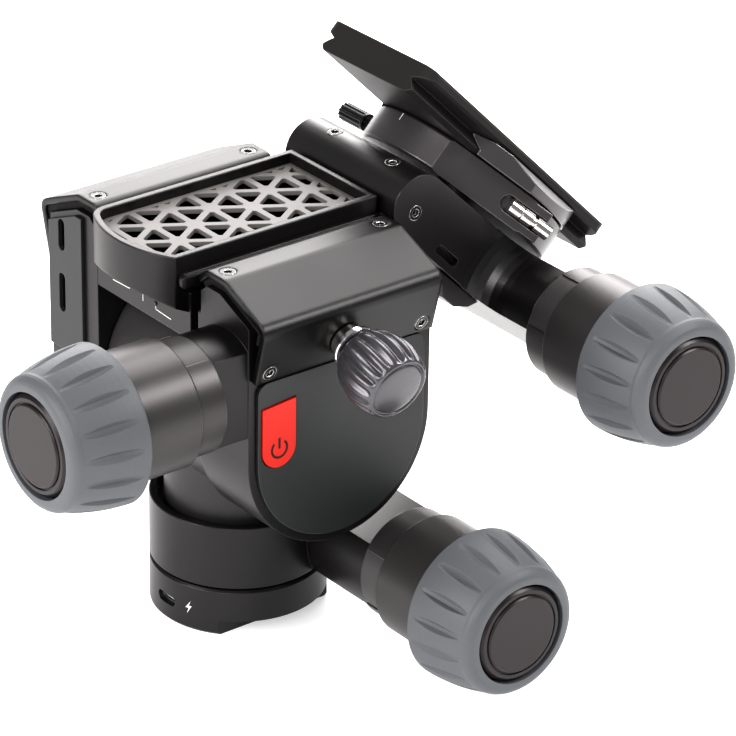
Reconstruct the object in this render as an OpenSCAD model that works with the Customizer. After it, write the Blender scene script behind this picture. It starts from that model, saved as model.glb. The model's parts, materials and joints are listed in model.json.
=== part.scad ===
// Three-axis motorised tripod head: pan, tilt and star-tracking axes, each with a worm drive and a knob.
// Origin at the centre of the base's bottom face, +Z up, +X along the covers, hand knobs towards -Y and -X.

/* [Base] */
// Radius of the fixed base and of the pan ring
base_r = 30; // [29:0.5:34]
// Height of the fixed base
base_h = 17; // [16:0.5:22]
// Radius of the tripod thread in the base
tripod_r = 4.76; // [3.1:0.01:5.5]
// Depth of the tripod thread
tripod_depth = 12; // [9:0.5:13]
// Distance of the flat notch under the base from the pan axis
notch_y = 19.5; // [17:0.5:24]
// Height of the flat notch under the base
notch_h = 5.5; // [3:0.5:7]
// Thickness of the thrust washer under the pan ring
washer_t = 0.8; // [0.6:0.1:1.5]

/* [Pan stage] */
// Height of the pan ring, and thickness of every worm housing
ring_h = 23; // [22:0.5:26]
// Wall of the pan ring around its top recess
ring_wall = 2.5; // [2:0.25:3.5]
// Depth of the recess in the top of the pan ring
recess_depth = 3.3; // [2:0.1:4]
// Radius of the knuckle's neck where it enters the pan ring
neck_r = 25; // [22:0.5:26]

/* [Worm drives] */
// Distance between a worm's axis and its wheel's axis
worm_offset = 25.8; // [25:0.1:28]
// Outer radius of the worms
worm_r = 6.5; // [5:0.25:7]
// Radius of the worm shafts
shaft_r = 3; // [2.5:0.1:3.4]
// Radius of the motor sleeves around the worm shafts
motor_r = 9; // [8:0.25:9.5]
// Radius of the worm housings before their flats are cut
tube_r = 19; // [18:0.25:20]
// Length of the pan worm housing from the wheel's plane
pan_reach = 58.2; // [56:0.2:66]
// Length of the tilt worm housing from the wheel's plane
tilt_reach = 50.3; // [48:0.1:58]
// Length of the tracking worm housing from the wheel's plane
track_reach = 53.8; // [50:0.1:60]
// Teeth on each worm wheel
wheel_teeth = 48; // [36:4:60]

/* [Hand knobs] */
// Half width of the tongue between the collar's jaws
tongue_half = 10; // [8:0.25:11]
// Length of the collar's jaws
jaw_len = 10; // [6:0.5:12]
// Length of the round collar behind the grip
collar_len = 22.5; // [18:0.5:28]
// Radius of the round collar
collar_r = 21.3; // [20.5:0.1:23]
// Radius of the grip's back rim
grip_r = 26.3; // [25.5:0.1:28]
// Length of the grip
grip_len = 27; // [24:0.5:31]
// Radius of the grip's bore
grip_bore = 17.4; // [15:0.1:18]
// Radius of curvature of the grip's barrel
barrel_r = 68; // [55:1:90]
// Number of flutes around a grip
grip_flutes = 17; // [12:1:20]

/* [Tilt body] */
// Radius of the rounded lower half of the side housings
drum_r = 36.5; // [35:0.5:40]
// Gap between the side housings and the pan ring
body_gap = 5.1; // [4:0.1:9]
// Height of the side housings above the tilt axis
body_rise = 45.6; // [44:0.2:52]
// Half length of the covers along X
cover_half = 35.5; // [34:0.5:36]
// Distance of the housings' inner faces from the middle
block_in = 28; // [27:0.25:29]
// Thickness of a side housing
block_t = 26.8; // [26.2:0.1:30]
// Thickness of the D-shaped face plates
face_t = 1.2; // [0.8:0.1:2]
// Margin around the D-shaped face plates
face_margin = 3; // [2:0.25:5]
// Radius of the tilt shaft
tilt_shaft_r = 7; // [6:0.25:8]

/* [Covers] */
// Height of the cover's top strip above the housing
strip_rise = 14.6; // [12:0.2:16]
// Distance of the top strip's inner edge from the middle
strip_in = 31; // [29.5:0.5:33]
// Width of the top strip
strip_w = 9.5; // [8:0.5:12]
// Distance of the cover's outer edge from the middle
edge_y = 62.5; // [60:0.5:66]
// Height of the cover's outer edge above the housing
edge_rise = 5; // [3:0.25:6.5]
// Depth of the cover's skirt below the housing's top
skirt_drop = 15.7; // [12:0.1:18]
// Distance of the cover screws from the middle along X
screw_x = 30.5; // [26:0.5:31.5]

/* [Bridge and grille] */
// Half width of the top tray
tray_half = 23; // [20:0.5:24]
// Reach of the tray's bowed front end from the tilt axis
tray_front = 48.5; // [46:0.5:52]
// Height of the tray's rim above the housings
tray_rise = 17.5; // [16:0.25:20]
// Radius of the tray's bowed front end
tray_bow = 42.5; // [34:0.5:60]
// Wall of the tray's rim
tray_wall = 2.2; // [1.8:0.2:4]
// Radius of the tray's far corner at the front
tray_corner = 8; // [6:0.5:12]
// Depth of the tray
tray_depth = 5; // [4:0.25:6]
// Distance between the grille's joints across the tray
grille_side = 14.8; // [12:0.2:18]
// Distance between the grille's cross bars
grille_step = 11.6; // [9:0.2:14]
// Width of the grille's bars
grille_bar = 2.4; // [1.8:0.1:3]

/* [Arm] */
// Distance of the arm's rounded end beyond the covers
arm_ahead = 16.4; // [15.5:0.1:22]
// Height of the arm's rounded end above the housings
arm_rise = 12.7; // [11:0.1:16]
// Radius of the arm's rounded end
arm_end_r = 10.8; // [10:0.1:11.5]
// Half width of the arm
arm_half = 29.4; // [28:0.2:33]
// Distance from the arm's rounded end to the tracking worm
arm_len = 64.8; // [62:0.2:72]
// Slope of the arm
arm_angle = 45; // [40:1:50]

/* [Clamp and camera plate] */
// Radius of the clamp's disc
clamp_r = 37; // [36:0.5:39]
// Thickness of the clamp's disc
clamp_t = 12.4; // [12:0.1:15]
// Half width of the camera plate's top flange
plate_half = 27; // [26:0.25:29]
// Half width of the camera plate's dovetail
dovetail_half = 24; // [22:0.25:25]
// Length of the camera plate
plate_len = 110.5; // [90:0.5:120]
// Thickness of the camera plate
plate_t = 11; // [10.5:0.1:14]
// How far the camera plate sits up the slope from the clamp's centre
plate_shift = 11.7; // [0:0.1:20]
// Radius of the camera screw
camera_screw_r = 3.175; // [2.5:0.005:4.8]

/* [Lock knob and button] */
// Place of the lock knob along X
lock_x = -1.5; // [-8:0.5:8]
// Largest radius of the lock knob
lock_r = 12.6; // [10:0.2:14]
// Length of the lock knob's grip
lock_len = 24; // [18:0.5:28]
// Flutes around the lock knob
lock_flutes = 16; // [10:1:20]
// Width of the power button
button_w = 13; // [10:0.5:15]
// Height of the power button
button_h = 23; // [16:0.5:26]
// Distance of the power button's middle from the tilt axis along X
button_x = 25.5; // [22:0.5:26]

/* [Hidden] */
$fn = 64;

// Clearances: a running shaft fit, a gap between fixed pieces, a gap between moving pieces
run_fit = 0.05;
seat_gap = 0.1;
free_gap = 0.4;
// Overlap that lets one cut run clear through a face
cut = 1;

// Colours as seen
anodised = [0.17, 0.16, 0.16];
dark_shell = [0.13, 0.13, 0.13];
face_grey = [0.24, 0.26, 0.26];
grip_grey = [0.50, 0.52, 0.53];
cap_grey = [0.29, 0.27, 0.28];
tongue_grey = [0.36, 0.36, 0.36];
steel = [0.72, 0.72, 0.74];
bronze = [0.71, 0.55, 0.30];
grille_beige = [0.62, 0.60, 0.57];
button_red = [0.91, 0.25, 0.18];
board_green = [0.10, 0.30, 0.18];
black = [0.05, 0.05, 0.05];

// Base and pan ring heights
ring_z = base_h + washer_t;
ring_top = ring_z + ring_h;
tube_half = ring_h / 2;
pan_worm_z = ring_z + tube_half;
recess_z = ring_top - recess_depth;
roof_t = 2.5;
bush_r = tripod_r + 3;
spindle_r = 8;
hub_r = 12;
nut_r = 12.5;
nut_t = 5;
washer_inset = 1.5;
washer_w = 6.5;

// Charging socket in the base's side
port_half = 4.6;
port_tall = 1.7;
port_room = 8;
port_wall = 0.7;
port_tongue = 0.35;
port_z = base_h / 2 - 0.7;

// Worm drive sizes
mesh_gap = 0.3;
wheel_r = worm_offset - worm_r - mesh_gap;
wheel_half = 5;
wheel_room = 0.6;
tooth_depth = 1.2;
worm_half = 11;
worm_groove = 1.1;
worm_pitch = 3.2;
chamber_half = 12;
journal_len = 4;
motor_start = 26;
jaw_r = tube_r + 0.4;
chamfer = 0.8;

// Knob sizes, counted from the end of the worm housing
collar_z = jaw_len;
knob_z = jaw_len + collar_len;
knob_gap = 0.5;
cap_r = grip_bore - 0.8;
cap_depth = 3;
cap_proud = 0.6;
nose_r = 4;
cap_chamfer = 1.2;
cap_groove = 0.6;
flute_len = 19.5;
flute_w = 3.8;
flute_depth = 1.3;
flute_floor = 1.2;
barrel_steps = 8;
grip_body = grip_len - knob_gap;

// Tilt body heights and widths
tilt_z = ring_top + body_gap + drum_r;
block_top = tilt_z + body_rise;
block_out = block_in + block_t;
face_y = block_out + face_t;
tilt_worm_z = tilt_z + worm_offset;
tilt_worm_y = block_out - tube_half - 0.3;
knuckle_r = drum_r - 2.5;
knuckle_half = block_in - free_gap;
bush_wall = 2.5;
block_corner = 1;
face_corner = 4;
shaft_half = block_out - 3;
bush_end = tilt_worm_y - wheel_half - wheel_room;

// Room for the battery and the control board in the far housing
room_wall = 2.5;
room_half = drum_r - 5.5;
room_low = tilt_z + tilt_shaft_r + bush_wall + 4;
board_t = 1.6;

// Cover section: a bent shell over a rubber seal on the housing's roof
cover_t = 2.2;
seal_t = 2.4;
seal_recess = 1;
roof_inset = cover_t + seal_t + seat_gap;
strip_round = 3;
edge_round = 4;
min_round = 0.3;
round_steps = 4;
strip_z = block_top + strip_rise;
strip_out = strip_in + strip_w;
edge_z = block_top + edge_rise;
skirt_z = block_top - skirt_drop;
skirt_y = block_out + cover_t + seat_gap;
seal_low = edge_z - 7;
cover_in = block_in - 1.5;
inner_z = strip_z - 3.5;
undercut = atan((edge_y - skirt_y) / (edge_z - skirt_z));
screw_r = 2.6;
screw_drop = 4.4;
screw_depth = 2.4;
socket_r = 1.45;
socket_depth = 1.3;

// Bridge, tray and grille
deck_z = tilt_z + knuckle_r + 1.1;
deck_top = block_top + 4;
wall_z = deck_z - 2.3;
wall_t = 6;
wall_gap = 4;
wall_gap_depth = 8;
chin_z = block_top - 3;
chin_slope = 26.6;
tray_top = block_top + tray_rise;
tray_floor = tray_top - tray_depth;
tray_back = cover_half + 3.5;
grille_t = 1.6;
grille_edge = 1.8;
grille_shift = -5.8;
grille_blunt = 0.12;
tray_sump = 3;

// Panel with the two ports on the far housing's front
panel_t = 1.2;
panel_in = block_in + 7.6;
panel_low = tilt_z + 2;
panel_margin = 2;
panel_edge = 0.4;
slot_y = block_in + 19;
slot_w = 3.6;
slot_depth = 4;
slots = [[11.3, block_top - 1.7], [14, block_top - 22.7]];

// Arm frame: X runs down the slope, Y across, Z along the tracking axis
arm_x = cover_half + arm_ahead;
arm_z = block_top + arm_rise;
track_c = arm_len - worm_offset;
arm_screw_y = 15.4;
arm_screw_turn = 48;
side_screw = [0.3, -2.8];
side_slot = [23.7, -6.7];
side_slot_len = 12;
side_slot_w = 3;
side_slot_depth = 3;
flare_r = 11;
lid_t = 1.5;
chin_half = arm_half - 2.4;
chin_drop = 6.3;

// Clamp and plate levels above the arm's middle plane
clamp_z = tube_half + 2;
clamp_top = clamp_z + clamp_t;
plate_z = clamp_top + 0.3;
plate_top = plate_z + plate_t;
groove_z = plate_z + 0.48 * plate_t;
groove_half = dovetail_half - 3.5;
lip_z = plate_z + 0.16 * plate_t;
flange_z = plate_top - 0.34 * plate_t;
plate_corner = 5;
plate_chamfer = 1;
foot_half = dovetail_half - 2.5;
clamp_screw_r = 2;
clamp_screw_z = clamp_top - 2.7;
clamp_knob_r = 3.3;
clamp_knob_ribs = 12;
clamp_rib_r = 0.7;
jaw_inner = dovetail_half + free_gap;
jaw_top = flange_z - free_gap;
jaw_slope = 3.5;
jaw_tip = groove_half + 0.9;
jaw_travel = 3;
lug_half = 3.2;
lug_t = 2;
lug_low = clamp_screw_z - clamp_screw_r - 1.3;
knob_start = clamp_r + 17;
knob_end = knob_start + 13;

// Flat on the clamp's near side, with a forked end that holds the barrel nut
flat_turn = 32;
flat_d = clamp_r - 5;
flat_room = 12;
jaw_proud = 2.5;
fork_end = clamp_r - 12.2;
fork_start = fork_end - 14.8;
fork_z = clamp_z + 0.49 * clamp_t;
fork_half = 2.9;
fork_lip = 0.5;
fork_floor = flat_d - 3.8;
clamp_nut_r = 2.7;
clamp_nut_core = 2.1;
clamp_nut_from = fork_start + 0.8;
clamp_nut_rings = [[0, 4.6], [5, 9.2], [10.6, 16.4]];

// Places and sizes on the camera plate
plate_c = track_c - plate_shift;
camera_head_r = 7.5;
camera_head_t = 2.2;
camera_travel = 4.6;
camera_slot_w = 1.4;
camera_bore = camera_screw_r + 0.3;
camera_room = camera_head_t + camera_travel + 0.8;
pad_t = 0.8;
pad_proud = 0.3;
pad_from = 12;
pad_end = 6;
pad_side = 5;

// Lock knob on the near cover's undercut face
lock_z = edge_z - 13.1;
lock_y = edge_y - (edge_z - lock_z) * tan(undercut);
lock_ring_r = 6;
lock_ring_len = 4;
lock_stud_r = 4;
lock_bury = 8;
lock_socket = 6;
lock_steps = 8;
lock_rib_r = 0.9;
lock_band = 3.5;
lock_groove_r = lock_r - 2.8;
lock_groove = 0.5;
lock_dome = 0.7;

// Power button in the near face plate
button_z = tilt_z + 9.3;
button_t = 1.6;
button_gap = 0.35;
button_proud = 0.5;
button_room = 1.6;
button_slope = 1.2;

// Repeated shapes

// A round bar along Z between two heights
module bar(r, from, to) {
    translate([0, 0, from]) cylinder(r = r, h = to - from);
}

// A round bar along Y between two places
module bar_y(r, from, to) {
    translate([0, from, 0]) rotate([-90, 0, 0]) cylinder(r = r, h = to - from);
}

// A box between two corners
module box(low, high) {
    translate(low) cube(high - low);
}

// A round bar with a chamfer at both ends
module chamfered_bar(r, from, to, c) {
    rotate_extrude() polygon([[0, from], [r - c, from], [r, from + c], [r, to - c], [r - c, to], [0, to]]);
}

// A section in the YZ plane drawn out along X to both sides of the middle
module along_x(half) {
    rotate([90, 0, 90]) translate([0, 0, -half]) linear_extrude(2 * half) children();
}

// Unit vector to the right of a step from one point to the next
function right_of(a, b) = [b[1] - a[1], a[0] - b[0]] / norm(b - a);

// A bent line moved to its right by a distance
function inset_path(path, d) =
    let (last = len(path) - 1)
    [for (i = [0 : last])
        let (before = right_of(path[max(i - 1, 0)], path[max(i, 1)]),
            after = right_of(path[min(i, last - 1)], path[min(i + 1, last)]))
        path[i] + d * (before + after) / (1 + before * after)];

// Points of an arc that rounds the corner b between a and c
function round_corner(a, b, c, r) =
    let (u = (a - b) / norm(a - b), v = (c - b) / norm(c - b), half = acos(u * v) / 2,
        middle = b + (u + v) / norm(u + v) * r / sin(half), sweep = 180 - 2 * half,
        from = b + u * r / tan(half) - middle, to = b + v * r / tan(half) - middle)
    [for (i = [0 : round_steps])
        let (t = i / round_steps)
        middle + (sin((1 - t) * sweep) * from + sin(t * sweep) * to) / sin(sweep)];

// A line walked the other way, and a line on the side given by the sign
function backwards(path) = [for (i = [len(path) - 1 : -1 : 0]) path[i]];
function on_side(path, side) = [for (q = path) [side * q[0], q[1]]];

// A closed outline with every corner cut off by a share of its edges
function blunted(path, share) =
    let (n = len(path))
    [for (i = [0 : n - 1], other = [path[(i + n - 1) % n], path[(i + 1) % n]])
        path[i] + share * (other - path[i])];

// A hexagon socket screw head whose top lies on Z = 0
module socket_head() {
    difference() {
        bar(screw_r, -screw_depth, 0);
        translate([0, 0, -socket_depth]) cylinder(r = socket_r, h = socket_depth + cut, $fn = 6);
    }
}

// The hole that takes such a screw head
module socket_seat() {
    bar(screw_r + seat_gap, -screw_depth, cut);
}

// Worm wheel with plain teeth, axis along Z
module worm_wheel(bore) {
    step = 360 / wheel_teeth;
    root = wheel_r - tooth_depth;
    difference() {
        translate([0, 0, -wheel_half]) linear_extrude(2 * wheel_half) polygon([
            for (i = [0 : wheel_teeth - 1], k = [[root, 0], [wheel_r, 0.3], [wheel_r, 0.6], [root, 0.9]])
                k[0] * [cos((i + k[1]) * step), sin((i + k[1]) * step)]]);
        bar(bore, -wheel_half - cut, wheel_half + cut);
    }
}

// Places the three worm drives: axis along Z towards the knob, flats facing Y
module pan_frame() {
    translate([worm_offset, 0, pan_worm_z]) rotate([90, 0, 0]) children();
}

module tilt_frame() {
    translate([0, -tilt_worm_y, tilt_worm_z]) rotate([0, -90, 0]) children();
}

module arm_frame() {
    translate([arm_x, 0, arm_z]) rotate([0, arm_angle, 0]) children();
}

module track_frame() {
    arm_frame() translate([arm_len, 0, 0]) rotate([90, 0, 0]) children();
}

// Bar with the worm housing's section: a round with two flats
module flat_bar(r, half, from, to) {
    intersection() {
        bar(r, from, to);
        box([-r, -half, from - cut], [r, half, to + cut]);
    }
}

// Space inside a worm housing for the worm, its shaft and the motor
module drive_room(reach) {
    bar(worm_r + wheel_room, -chamber_half, motor_start + cut);
    bar(motor_r + seat_gap, motor_start, reach + cut);
    bar(shaft_r + run_fit, -chamber_half - journal_len, 0);
}

module drive_motor(reach) {
    color(steel) difference() {
        chamfered_bar(motor_r, motor_start + 2, reach - seat_gap, chamfer);
        bar(shaft_r + free_gap, motor_start, reach + cut);
    }
}

module drive_tongue(reach) {
    color(tongue_grey) difference() {
        flat_bar(tube_r, tongue_half, reach, reach + jaw_len - seat_gap);
        bar(shaft_r + free_gap, reach - cut, reach + jaw_len + cut);
    }
}

module drive_collar(reach) {
    slot = tongue_half + seat_gap;
    color(dark_shell) difference() {
        union() {
            bar(jaw_r, reach + seat_gap, reach + jaw_len);
            chamfered_bar(collar_r, reach + collar_z, reach + knob_z, chamfer);
        }
        box([-jaw_r - cut, -slot, reach - cut], [jaw_r + cut, slot, reach + collar_z]);
        bar(shaft_r + run_fit, reach, reach + knob_z + cut);
    }
}

module drive_worm(reach) {
    turns = floor(2 * worm_half / worm_pitch);
    color(steel) {
        difference() {
            bar(worm_r, -worm_half, worm_half);
            for (i = [0 : turns - 1])
                translate([0, 0, -worm_half + (i + 0.25) * worm_pitch]) rotate_extrude() polygon([
                    [worm_r - worm_groove, 0.4], [worm_r + cut, 0], [worm_r + cut, worm_pitch / 2],
                    [worm_r - worm_groove, worm_pitch / 2 - 0.4]]);
        }
        bar(shaft_r, -chamber_half - journal_len + free_gap, -worm_half);
        bar(shaft_r, worm_half, reach + knob_z + grip_len - cap_depth - 2);
    }
}

// Knob core with the round cap that shows at the front of the grip
module drive_hub(reach) {
    front = reach + knob_z + grip_len;
    groove_r = cap_r - 2 * cap_chamfer;
    color(cap_grey) difference() {
        union() {
            bar(grip_bore - seat_gap, reach + knob_z + knob_gap, front - cap_depth);
            rotate_extrude() polygon([
                [0, front - cap_depth - cut], [cap_r, front - cap_depth - cut], [cap_r, front - cap_chamfer],
                [cap_r - cap_chamfer, front], [groove_r, front], [groove_r, front - cap_groove],
                [groove_r - cap_groove, front - cap_groove], [groove_r - cap_groove, front],
                [groove_r - cap_chamfer, front + cap_proud], [0, front + cap_proud]]);
        }
        bar(shaft_r, reach, front - cap_depth - 2);
    }
}

// Radius of the grip's barrel at a distance from its back rim
function barrel(s) = grip_r - barrel_r + sqrt(barrel_r * barrel_r - s * s);

// Soft grip: a barrel with lens-shaped flutes, open at the front for the cap
module drive_grip(reach) {
    nose_z = grip_body - nose_r;
    nose_x = barrel(nose_z) - nose_r;
    middle = grip_body / 2 - 0.5;
    slant = asin(middle / barrel_r);
    color(grip_grey) translate([0, 0, reach + knob_z + knob_gap]) difference() {
        rotate_extrude() polygon([
            [grip_bore, 0],
            [grip_r - chamfer, 0],
            for (i = [0 : barrel_steps])
                let (s = chamfer + (nose_z - chamfer) * i / barrel_steps) [barrel(s), s],
            for (a = [75 : -15 : 0]) [nose_x + nose_r * sin(a), nose_z + nose_r * cos(a)],
            [grip_bore, grip_body]]);
        for (i = [0 : grip_flutes - 1])
            rotate(i * 360 / grip_flutes) translate([barrel(middle), 0, middle]) rotate([0, -slant, 0])
                flute_wheel();
    }
}

// Cutting wheel of one flute: turns about Y, reaches below X = 0 by the flute's depth
module flute_wheel() {
    sag = flute_len * flute_len / 8;
    wheel = sag / (flute_depth - sag / barrel_r);
    brim = 2 * flute_depth;
    brim_half = flute_floor / 2 + (flute_w - flute_floor) / 2 * brim / flute_depth;
    translate([wheel - flute_depth, 0, 0]) rotate([90, 0, 0]) rotate_extrude($fn = 128) polygon([
        [wheel - brim, -brim_half], [wheel, -flute_floor / 2], [wheel, flute_floor / 2],
        [wheel - brim, brim_half]]);
}

// Base

module base_shell() {
    color(anodised) difference() {
        chamfered_bar(base_r, 0, base_h, chamfer);
        box([-base_r, -base_r - cut, -cut], [base_r, -notch_y, notch_h]);
        bar(bush_r + seat_gap, -cut, tripod_depth + seat_gap);
        bar(spindle_r + seat_gap, tripod_depth, base_h + cut);
        port_space(seat_gap);
    }
}

// Room for the charging socket in the base's side, square to X
module port_space(gap) {
    translate([-base_r - cut, 0, port_z]) rotate([90, 0, 90]) linear_extrude(port_room + cut)
        slot(2 * (port_half + gap), 2 * (port_tall + gap));
}

module charge_port() {
    color(steel) difference() {
        intersection() {
            port_space(0);
            bar(base_r - port_tall, 0, base_h);
        }
        translate([-base_r, 0, port_z]) rotate([90, 0, 90]) linear_extrude(port_room - port_tall)
            difference() {
                slot(2 * (port_half - port_wall), 2 * (port_tall - port_wall));
                square(2 * [port_half - 2 * port_wall, port_tongue], center = true);
            }
    }
}

module tripod_bush() {
    color(steel) difference() {
        bar(bush_r, 0, tripod_depth);
        bar(tripod_r, -cut, tripod_depth + cut);
    }
}

module pan_spindle() {
    color(steel) {
        bar(spindle_r, tripod_depth + seat_gap, recess_z + nut_t);
        bar(hub_r, base_h, pan_worm_z - wheel_half);
    }
}

module pan_wheel() {
    color(bronze) translate([0, 0, pan_worm_z]) worm_wheel(spindle_r);
}

module thrust_washer() {
    color(black) difference() {
        bar(base_r - washer_inset, base_h, ring_z - seat_gap);
        bar(base_r - washer_inset - washer_w, base_h - cut, ring_z + cut);
    }
}

module spindle_nut() {
    color(steel) difference() {
        translate([0, 0, recess_z + free_gap]) cylinder(r = nut_r, h = nut_t - free_gap, $fn = 6);
        bar(spindle_r, recess_z, recess_z + nut_t + cut);
    }
}

// Pan stage

module pan_housing() {
    color(anodised) difference() {
        union() {
            chamfered_bar(base_r, ring_z, ring_top, chamfer / 2);
            pan_frame() flat_bar(tube_r, tube_half, -chamber_half - journal_len - 2, pan_reach);
        }
        bar(base_r - ring_wall, recess_z, ring_top + cut);
        bar(wheel_r + wheel_room, ring_z - cut, recess_z - roof_t);
        bar(spindle_r + run_fit, ring_z, recess_z + cut);
        pan_frame() drive_room(pan_reach);
    }
}

// Yoke between the side housings, on a round neck that stands in the pan ring
module knuckle() {
    color(face_grey) difference() {
        union() {
            translate([0, 0, tilt_z]) bar_y(knuckle_r, -knuckle_half, knuckle_half);
            bar(neck_r, recess_z, tilt_z - knuckle_r / 2);
        }
        translate([0, 0, tilt_z]) bar_y(tilt_shaft_r, -block_in, block_in);
        bar(nut_r + 1, recess_z - cut, recess_z + nut_t + 1);
    }
}

module tilt_shaft() {
    color(steel) translate([0, 0, tilt_z]) bar_y(tilt_shaft_r, -shaft_half, shaft_half);
}

module tilt_wheel() {
    color(bronze) translate([0, -tilt_worm_y, tilt_z]) rotate([90, 0, 0]) worm_wheel(tilt_shaft_r);
}

module pan_motor() {
    pan_frame() drive_motor(pan_reach);
}

module pan_tongue() {
    pan_frame() drive_tongue(pan_reach);
}

module pan_collar() {
    pan_frame() drive_collar(pan_reach);
}

module pan_worm() {
    pan_frame() drive_worm(pan_reach);
}

module pan_hub() {
    pan_frame() drive_hub(pan_reach);
}

module pan_grip() {
    pan_frame() drive_grip(pan_reach);
}

// Tilt body

// D-shaped block in the XZ plane with rounded top corners, extruded along Y between two places
module d_block(r, top, corner, from, to) {
    rise = top - tilt_z;
    translate([0, to, tilt_z]) rotate([90, 0, 0]) linear_extrude(to - from) {
        intersection() {
            circle(r = r, $fn = 128);
            translate([-r, -r]) square([2 * r, r]);
        }
        translate([-r, 0]) square([2 * r, rise - corner]);
        translate([-r + corner, 0]) square([2 * (r - corner), rise]);
        for (x = [-1, 1]) translate([x * (r - corner), rise - corner]) circle(r = corner);
    }
}

// Bores through a side housing for the tilt shaft and its bush, on the side given by the sign
module shaft_bores(side) {
    reach = shaft_half + 1;
    translate([0, 0, tilt_z]) {
        bar_y(tilt_shaft_r + free_gap, min(0, side * reach), max(0, side * reach));
        bush_from = side * (block_in - cut);
        bush_to = side * bush_end;
        bar_y(tilt_shaft_r + bush_wall, min(bush_from, bush_to), max(bush_from, bush_to));
    }
}

module near_housing() {
    color(anodised) difference() {
        union() {
            d_block(drum_r, block_top, block_corner, -block_out, -block_in);
            roof(-1);
            tilt_frame() flat_bar(tube_r, tube_half, 0, tilt_reach);
        }
        shaft_bores(-1);
        translate([0, 0, tilt_z])
            bar_y(wheel_r + wheel_room, -tilt_worm_y - wheel_half - wheel_room, -bush_end);
        tilt_frame() drive_room(tilt_reach);
        translate([-button_x, -block_out, button_z]) button_solid(button_gap, button_room + button_t, -cut);
        lock_frame() bar(lock_stud_r + free_gap, -lock_bury - cut, cut);
        cover_screw_places(-1) socket_seat();
    }
}

module far_housing() {
    color(anodised) difference() {
        union() {
            d_block(drum_r, block_top, block_corner, block_in, block_out);
            roof(1);
        }
        shaft_bores(1);
        port_slots(slot_depth);
        cover_screw_places(1) socket_seat();
        box([-room_half, block_in + room_wall, room_low],
            [room_half, block_out - room_wall, block_top - room_wall]);
    }
}

// Upper faces of a cover in section, from its inner edge to its outer edge
cover_top = [[cover_in, inner_z], [strip_in, strip_z], [strip_out, strip_z], [edge_y, edge_z]];

// Outer face of a cover with its skirt, moved inwards by a distance, with rounded corners
function cover_path(d) =
    let (q = inset_path(concat(cover_top, [[skirt_y, skirt_z]]), d), soft = max(strip_round - d, min_round))
    concat([q[0]], round_corner(q[0], q[1], q[2], soft), round_corner(q[1], q[2], q[3], soft),
        round_corner(q[2], q[3], q[4], max(edge_round - d, min_round)), [q[4]]);

// Outline under the cover's upper faces, closed at a height
function roof_path(d, low) =
    let (q = inset_path(cover_top, d))
    concat([[q[0][0], low]], q, [[edge_y, low]]);

// Space between two distances from the middle on one side, above a height
module side_room(side, from, to, low) {
    box([-tray_front, min(side * from, side * to), low],
        [tray_front, max(side * from, side * to), tray_top]);
}

// Bent shell of one cover
module cover(side) {
    along_x(cover_half) polygon(on_side(concat(cover_path(0), backwards(cover_path(cover_t))), side));
}

// Roof of a side housing, under the cover and its seal
module roof(side) {
    intersection() {
        along_x(drum_r) polygon(on_side(roof_path(roof_inset, block_top - cut), side));
        side_room(side, block_in, block_out, block_top - cut);
    }
}

module cover_seals() {
    section = concat(cover_path(cover_t + seat_gap), backwards(cover_path(cover_t + seal_t)));
    color(black) for (side = [-1, 1]) difference() {
        intersection() {
            along_x(cover_half - seal_recess) polygon(on_side(section, side));
            side_room(side, cover_in, edge_y, seal_low);
        }
        cover_screw_places(side) socket_seat();
    }
}

// Stands on the cover's undercut face at the lock knob's height, Z out of the face
module undercut_frame(side) {
    translate([0, side * lock_y, lock_z]) rotate([-side * (90 + undercut), 0, 0]) children();
}

// Places the screws of a cover: two on the top strip and two on the undercut face
module cover_screw_places(side) {
    for (x = [-screw_x, screw_x]) {
        translate([x, side * (strip_in + strip_w / 2), strip_z]) children();
        undercut_frame(side) translate([x, side * screw_drop, 0]) children();
    }
}

module near_cover() {
    color(anodised) difference() {
        cover(-1);
        cover_screw_places(-1) socket_seat();
        lock_frame() bar(lock_stud_r + free_gap, -lock_bury - cut, lock_bury);
    }
}

module far_cover() {
    color(anodised) difference() {
        cover(1);
        cover_screw_places(1) socket_seat();
    }
}

module cover_screws() {
    color(black) for (side = [-1, 1]) cover_screw_places(side) socket_head();
}

module near_face() {
    color(face_grey) difference() {
        d_block(drum_r - face_margin, skirt_z - 1.2, face_corner, -face_y, -block_out);
        translate([-button_x, -block_out, button_z]) button_solid(button_gap, cut, -face_t - cut);
    }
}

module far_face() {
    color(face_grey) d_block(drum_r - face_margin, skirt_z - 1.2, face_corner, block_out, face_y);
}

// Power button outline: round foot and sloping top, from a depth to a height out of the face
module button_solid(gap, depth, height) {
    half = button_w / 2;
    translate([0, depth, 0]) rotate([90, 0, 0]) linear_extrude(depth - height) union() {
        translate([0, -button_h / 2 + half]) circle(r = half + gap);
        polygon([[-half - gap, -button_h / 2 + half], [half + gap, -button_h / 2 + half],
            [half + gap, button_h / 2 + gap], [-half - gap, button_h / 2 - button_slope + gap]]);
    }
}

module power_button() {
    color(button_red) translate([-button_x, -block_out, button_z])
        button_solid(0, button_t, -face_t - button_proud);
}

// Outline of the tray: square at the back, bowed at the front with one round corner, inset by a margin
module tray_outline(inset) {
    half = tray_half - inset;
    middle = tray_bow - tray_front;
    corner_y = tray_half - tray_corner;
    corner_x = -sqrt(pow(tray_bow - tray_corner, 2) - pow(corner_y, 2));
    difference() {
        intersection() {
            translate([-tray_front, -half]) square([tray_front + tray_back - inset, 2 * half]);
            union() {
                translate([middle, 0]) circle(r = tray_bow - inset, $fn = 128);
                translate([middle, -half]) square([tray_back - middle, 2 * half]);
            }
        }
        translate([middle + corner_x, corner_y]) difference() {
            polygon([[0, 0], [corner_x, corner_y], [corner_x, 2 * tray_half], [0, 2 * tray_half]]);
            circle(r = tray_corner - inset);
        }
    }
}

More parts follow.
